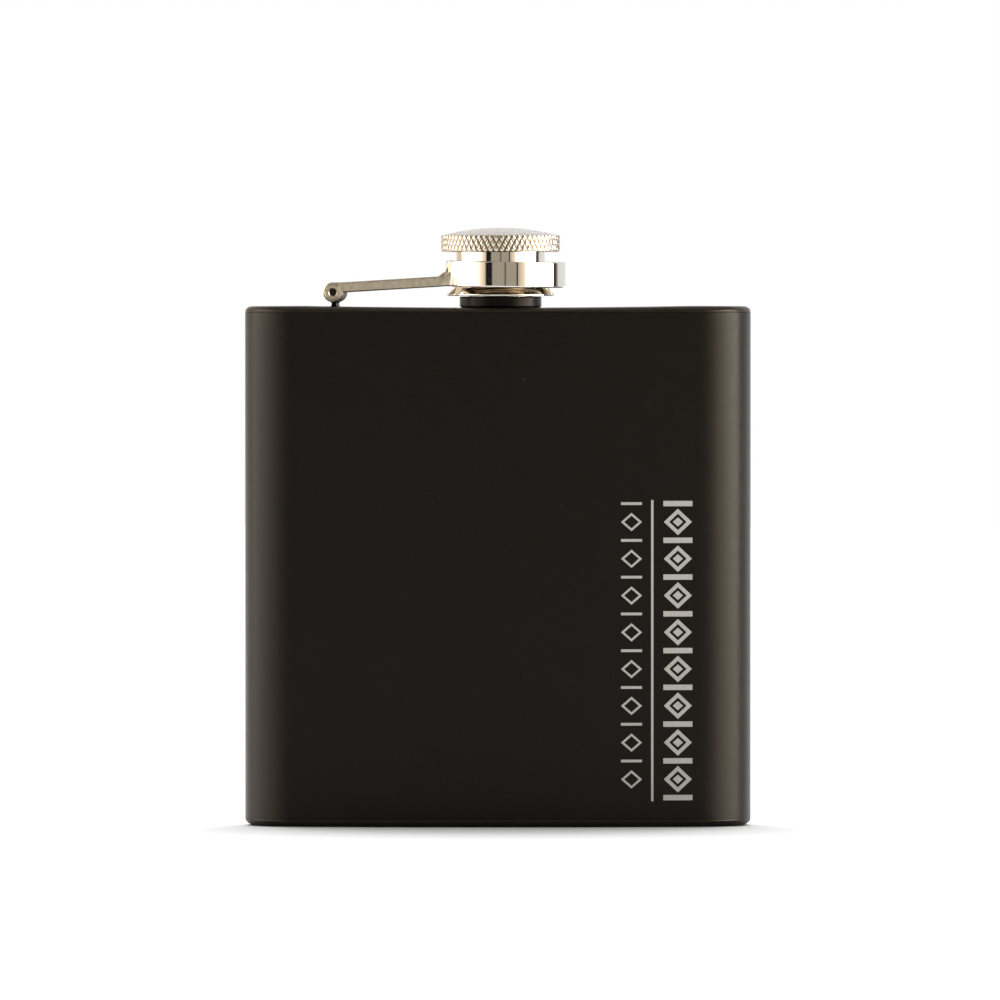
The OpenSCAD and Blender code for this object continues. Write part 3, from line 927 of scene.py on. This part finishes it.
# %% The strip's finish
def strip_steel():
    """Brushed on the legs, mirror-bright within the ring's outer radius, blended just outside it."""
    material, tree, shader, place = new_material("strip_steel", (0.6, 0.55, 0.48), 0.3, 1.0)
    axis = tuple(float(v) for v in to_frame(np.array([RING_U, RING_V, 0.0])))
    reach = reach_from(tree, place, axis)
    ring_out = RING_MID_R + RING_T / 2
    bright = spread(tree, reach, ring_out + 0.05 * MM, ring_out + 0.35 * MM, 1, 0)
    grain = noise(tree, place, 1800, 4, stretch=(8, 1, 1), turn=-YAW)
    mottle = noise(tree, place, 1300, 3)
    dull = mix_colour(tree, spread(tree, mottle, 0.3, 0.7, 0, 1), (0.41, 0.355, 0.27),
                      (0.54, 0.475, 0.37))
    tree.links.new(mix_colour(tree, bright, dull, (0.82, 0.78, 0.72)), shader.inputs["Base Color"])
    dull_rough = spread(tree, grain, 0.3, 0.7, 0.3, 0.45)
    mirror = node(tree, "Mix", [(0, bright), (2, dull_rough), (3, 0.045)], data_type="FLOAT")
    tree.links.new(mirror.outputs[0], shader.inputs["Roughness"])
    ripple = bump(tree, shader, noise(tree, place, 280, 2), 0.00002, 0.25)
    depth = spread(tree, bright, 0, 1, 1.0, 0.05)
    rub = node(tree, "Math", [(0, grain), (1, depth)], operation="MULTIPLY").outputs[0]
    bump(tree, shader, rub, 0.00001, 0.5, under=ripple)
    return material


arm.data.materials.append(strip_steel())
print("strip bright out to", round((RING_MID_R + RING_T / 2) / MM, 2), "mm from the ring's axis")

# %% [markdown]
# ## Pin and lug
#
# The pin is a short tube whose dark ends sit just inside the eyes. The lug is a knuckle on a narrow
# post, with a foot that spreads to the weld. A cylinder joined to a block would meet it in hard
# creases. Here the whole outline is drawn once and carried across the gap between the eyes, drawn
# in a little at both sides for a softened edge.

# %% The pin and the lug
PIN_HALF = LEG_GAP / 2 + LEG_T - 0.15 * MM
pin_line = np.array([[0, -PIN_HALF + 0.5 * MM], [0.42 * MM, -PIN_HALF + 0.5 * MM],
                     [0.46 * MM, -PIN_HALF], [PIN_R, -PIN_HALF], [PIN_R, PIN_HALF],
                     [0.46 * MM, PIN_HALF], [0.42 * MM, PIN_HALF - 0.5 * MM],
                     [0, PIN_HALF - 0.5 * MM]])
pin = piece("hollow_pin", [shell(turned_on_pin(pin_line), False, True)], "arm",
            ["hinge_pin"])
pin.data.materials.append(brushed_steel("dark_pin", (0.035, 0.032, 0.03), 0.5))

KNUCKLE_R = 1.8 * MM
POST_HALF, FOOT_HALF, FOOT_H = 0.42 * MM, 0.95 * MM, 0.5 * MM
LUG_HALF = LEG_GAP / 2 - 0.1 * MM
drop = PANEL_Z - PIN[2]


def lug_outline():
    """Round the lug in its side view, as (u, z): foot, post, knuckle, post, foot."""
    gap = math.degrees(math.asin((POST_HALF + 0.25 * MM) / KNUCKLE_R))
    knuckle = arc((0, 0), KNUCKLE_R, -90 + gap, 270 - gap, 60)
    foot = rounded(
        np.array([knuckle[-1], [-POST_HALF, knuckle[-1, 1] - 0.35 * MM],
                  [-POST_HALF, drop + FOOT_H], [-FOOT_HALF, drop], [FOOT_HALF, drop],
                  [POST_HALF, drop + FOOT_H], [POST_HALF, knuckle[0, 1] - 0.35 * MM], knuckle[0]]),
        [0.1 * MM, 0.3 * MM, 0.05 * MM, 0.05 * MM, 0.3 * MM, 0.1 * MM])[1:-1]
    return np.concatenate([knuckle, foot])


def carried_across(outline_uz, half, soft=0.12 * MM):
    """Carries an outline from -half to half along v. Over the last stretch it is drawn in by
    soft (1 - sin b) while v moves out by soft (1 - cos b)."""
    step = np.roll(outline_uz, -1, axis=0) - np.roll(outline_uz, 1, axis=0)
    inward = np.stack([-step[:, 1], step[:, 0]], axis=1) / np.linalg.norm(step, axis=1)[:, None]
    b = np.radians(np.linspace(0, 90, 5))
    draw = np.concatenate([soft * (1 - np.sin(b)), soft * (1 - np.sin(b[::-1]))])
    v = np.concatenate([-half + soft * (1 - np.cos(b)), half - soft * (1 - np.cos(b[::-1]))])
    plan = outline_uz[None] + inward[None] * draw[:, None, None]
    grid = np.stack([plan[..., 0], np.repeat(v[:, None], len(outline_uz), axis=1), plan[..., 1]],
                    axis=-1)
    return to_frame(grid)


lug = piece("hinge_knuckle", [shell(carried_across(lug_outline(), LUG_HALF), False, True, caps=True)],
            "flask", ["hinge_lug"])
lug.data.materials.append(coat_on_lug)

# %% [markdown]
# ## The engraved ornament
#
# A laser burns the coat away and leaves pale steel. Here it is a plain band: a rule, a fine column
# of open lozenges and dashes, and a bold column of lozenges between bars. A mask in the coat's own
# material would do, but its edges would blur with the grain. Each motif is a closed sliver that
# follows the front's curve: x stays, and y comes from the front's circle, a hundredth of a
# millimetre proud of the coat, so its edges stay crisp at any distance.

# %% Build the ornament
FRONT_R = BOW_R + HALF_T
PROUD, SUNK = 0.012 * MM, -0.06 * MM


def on_front(xz, height):
    """A point of the front at x and z, raised by height along the front circle's radius."""
    a = np.arcsin(xz[..., 0] / FRONT_R)
    r = FRONT_R + height
    return np.stack([r * np.sin(a), CURVE_Y - r * np.cos(a), xz[..., 1]], axis=-1)


def motif(outer, share, centre, per_side=8):
    """A closed sliver between an outline and its copy shrunk to share of its size: a ring of four
    loops, outer sunk, outer proud, inner proud, inner sunk. A share of 0 fills the outline."""
    outer = np.asarray(outer, float)
    t = np.linspace(0, 1, per_side, endpoint=False)[:, None]
    sides = [a + (b - a) * t for a, b in zip(outer, np.roll(outer, -1, axis=0))]
    loop = np.concatenate(sides)
    inner = loop * share
    at = np.asarray(centre)
    rings = [on_front(loop + at, SUNK), on_front(loop + at, PROUD),
             on_front(inner + at, PROUD), on_front(inner + at, SUNK)]
    return shell(np.stack(rings), True, True)


def lozenge(width, height):
    """The four corners of an upright lozenge about its centre."""
    return [[-width / 2, 0], [0, -height / 2], [width / 2, 0], [0, height / 2]]


def bar(width, height):
    """The four corners of a rectangle about its centre."""
    return [[-width / 2, -height / 2], [width / 2, -height / 2], [width / 2, height / 2],
            [-width / 2, height / 2]]


BAND_LOW, BAND_HIGH = 5.0 * MM, 60.5 * MM
BOLD_X, RULE_X, FINE_X = 33.35 * MM, 28.6 * MM, 24.75 * MM
units = 8
pitch = (BAND_HIGH - BAND_LOW - 1.0 * MM) / units
motifs = [motif(bar(0.44 * MM, BAND_HIGH - BAND_LOW + 0.3 * MM), 0,
                (RULE_X, (BAND_HIGH + BAND_LOW) / 2), 40)]
for k in range(units + 1):
    level = BAND_LOW + 0.5 * MM + k * pitch
    motifs.append(motif(bar(5.4 * MM, 1.0 * MM), 0, (BOLD_X, level)))
    if k < units:
        middle = (BOLD_X, level + pitch / 2)
        motifs.append(motif(lozenge(5.2 * MM, pitch - 1.9 * MM), 0.62, middle))
        motifs.append(motif(lozenge(1.9 * MM, 1.7 * MM), 0, middle))
        fine = (FINE_X, level + pitch / 2)
        motifs.append(motif(lozenge(3.9 * MM, 3.4 * MM), 0.7, fine))
        motifs.append(motif(bar(3.9 * MM, 0.5 * MM), 0, (FINE_X, level + pitch)))
ornament = piece("engraved_band", motifs, "flask")
bare, bare_tree, bare_shader, bare_place = new_material("bared_steel", (0.5, 0.48, 0.44), 0.55)
flecks = noise(bare_tree, bare_place, 6000, 3)
bare_tone = mix_colour(bare_tree, spread(bare_tree, flecks, 0.3, 0.7, 0, 1), (0.42, 0.4, 0.36),
                       (0.6, 0.58, 0.53))
bare_tree.links.new(bare_tone, bare_shader.inputs["Base Color"])
ornament.data.materials.append(bare)

# %% [markdown]
# ## The studio
#
# Polished steel shows the room more than itself, so the room is what makes it look right. Two large
# soft lights stand left and right, with dark gaps at their edges, a dim front, a pale room behind
# and a pale ceiling with a dim band under it. Lamps and cards could be set up one by one, but it is
# easier to paint them into the world by direction, as a row of stops round the room. Rays that
# light dull surfaces see an even white room instead, which keeps the floor clean, and the camera
# sees plain white.

# %% The room
# Stops round it: azimuth in degrees, 0 in front, positive to the right, and the light there.
DARK, GAP, FRONT = (0.012, 0.011, 0.01), (0.06, 0.055, 0.05), (0.4, 0.37, 0.3)
PALE, DIM = (0.87, 0.87, 0.87), (0.8, 0.67, 0.48)
EVEN, DIM_BAND, CEILING = (0.55, 0.55, 0.55), (0.25, 0.21, 0.16), (0.8, 0.79, 0.78)
ROOM = [
    (-180, PALE), (-166, (0.87, 0.78, 0.63)), (-150, DIM), (-123, DIM), (-119, (4.6, 4.3, 3.8)),
    (-85, (5.4, 5.0, 4.3)), (-61, (3.3, 2.95, 2.4)), (-50, (1.35, 1.15, 0.92)),
    (-38.5, (0.75, 0.6, 0.45)), (-37.5, DARK), (-25.5, DARK), (-24.5, FRONT), (-1.6, FRONT),
    (-1.1, (0.1, 0.08, 0.05)), (1.1, (0.1, 0.08, 0.05)), (1.6, FRONT), (21.5, FRONT), (22, DARK),
    (24, DARK), (25, (0.6, 0.48, 0.34)), (38, (1.1, 0.98, 0.8)), (59, (8.5, 7.8, 6.6)),
    (80, (14.0, 13.0, 11.5)), (104, (14.0, 13.0, 11.5)), (105.5, GAP), (114, GAP),
    (119, (0.38, 0.36, 0.34)), (124, PALE), (180, PALE)]
print(f"room: {len(ROOM)} stops, brightest {max(max(colour) for _, colour in ROOM)}")

# %% [markdown]
# ## Painting the room into the world
#
# The direction of a ray gives its azimuth, and a colour ramp turns that into light. A ramp holds at
# most 32 stops, so each side of the room has its own, and there is space for more. An image of the
# room would do the same, but a list of stops is easier to change.

# %% The world
def colour_ramp(tree, share, stops):
    """A colour ramp with one stop for each (position from 0 to 1, colour)."""
    ramp = node(tree, "ValToRGB", [("Fac", share)])
    elements = ramp.color_ramp.elements
    elements[0].position, elements[1].position = stops[0][0], stops[-1][0]
    elements[0].color, elements[1].color = (*stops[0][1], 1), (*stops[-1][1], 1)
    for position, colour in stops[1:-1]:
        elements.new(position).color = (*colour, 1)
    return ramp.outputs["Color"]


def build_world():
    """World colour by ray: camera rays see white, glossy rays the painted room, others even white."""
    world = bpy.data.worlds.new("studio")
    bpy.context.scene.world = world
    world.use_nodes = True
    world.cycles.sampling_method = "NONE"
    tree = world.node_tree
    tree.nodes.clear()
    way = node(tree, "TexCoord").outputs["Generated"]
    axes = node(tree, "SeparateXYZ", [("Vector", way)])
    x, y, z = axes.outputs
    forward = node(tree, "Math", [(0, y), (1, -1.0)], operation="MULTIPLY").outputs[0]
    azimuth = node(tree, "Math", [(0, x), (1, forward)], operation="ARCTAN2").outputs[0]
    turn = spread(tree, azimuth, -math.pi, math.pi, 0, 1)
    half = len(ROOM) // 2 + 1
    left = [((a + 180) / 360, c) for a, c in ROOM[:half]]
    right = [((a + 180) / 360, c) for a, c in ROOM[half - 1:]]
    split = left[-1][0]
    is_right = node(tree, "Math", [(0, turn), (1, split)], operation="GREATER_THAN").outputs[0]
    sides = node(tree, "Mix", [(0, is_right), (6, colour_ramp(tree, turn, left)),
                               (7, colour_ramp(tree, turn, right))], data_type="RGBA").outputs[2]
    upper = mix_colour(tree, spread(tree, z, 0.6, 0.7, 0, 1), sides, DIM_BAND)
    ceiling = mix_colour(tree, spread(tree, z, 0.86, 0.92, 0, 1), upper, CEILING)
    ray = node(tree, "LightPath")
    even = mix_colour(tree, ray.outputs["Is Glossy Ray"], EVEN, ceiling)
    seen = mix_colour(tree, ray.outputs["Is Camera Ray"], even, (1.0, 1.0, 1.0))
    light = node(tree, "Background", [("Color", seen), ("Strength", 1.0)])
    out = node(tree, "OutputWorld")
    tree.links.new(light.outputs[0], out.inputs["Surface"])


build_world()
print("world:", bpy.context.scene.world.name)

# %% [markdown]
# ## Floor, lamp and camera
#
# The floor is a plain white sheet. One wide lamp shines from above and a little behind, and gives the
# short soft shadow in front. The painted room could give one too, but only a faint one, since it
# shines from all sides. The camera is a long lens held almost level, at the height of the cap's top,
# so upright edges stay parallel. Its distance and its lens are chosen together: the further away it
# stands, the flatter the view.

# %% Floor, lamp and camera
FLOOR_SIZE = 6.0
floor_mesh = bpy.data.meshes.new("floor")
corner = FLOOR_SIZE / 2
floor_mesh.from_pydata([(-corner, -corner, 0), (corner, -corner, 0), (corner, corner, 0),
                        (-corner, corner, 0)], [], [(0, 1, 2, 3)])
floor = bpy.data.objects.new("floor", floor_mesh)
bpy.context.scene.collection.objects.link(floor)
floor_finish = new_material("floor_white", (0.9, 0.9, 0.9), 0.6, Specular_IOR_Level=0.0)[0]
floor_mesh.materials.append(floor_finish)

sun_data = bpy.data.lights.new("top_light", "SUN")
sun_data.energy = 2.9
sun_data.angle = math.radians(45)
sun = bpy.data.objects.new("top_light", sun_data)
bpy.context.scene.collection.objects.link(sun)
sun.rotation_euler = (math.radians(-24), 0, 0)
sun.visible_glossy = False

SENSOR = 36.0
FRAME_W = 185.8 * MM                   # width of the view at the flask
DISTANCE = 3.0
EYE_Z = cad_high.z
AIM = (0.39 * MM, MID_Y, 60.5 * MM)
camera_data = bpy.data.cameras.new("camera")
camera_data.sensor_width = SENSOR
camera_data.lens = SENSOR * DISTANCE / FRAME_W
camera_data.clip_start, camera_data.clip_end = 0.1, 50
camera = bpy.data.objects.new("camera", camera_data)
bpy.context.scene.collection.objects.link(camera)
camera.location = (AIM[0], AIM[1] - DISTANCE, EYE_Z)
camera.rotation_euler = (math.pi / 2 - math.atan((EYE_Z - AIM[2]) / DISTANCE), 0, 0)
bpy.context.scene.camera = camera
bpy.context.scene.view_settings.view_transform = "Standard"
print(f"lens {camera_data.lens:.0f} mm at {DISTANCE} m, view {FRAME_W / MM:.0f} mm wide at the flask")
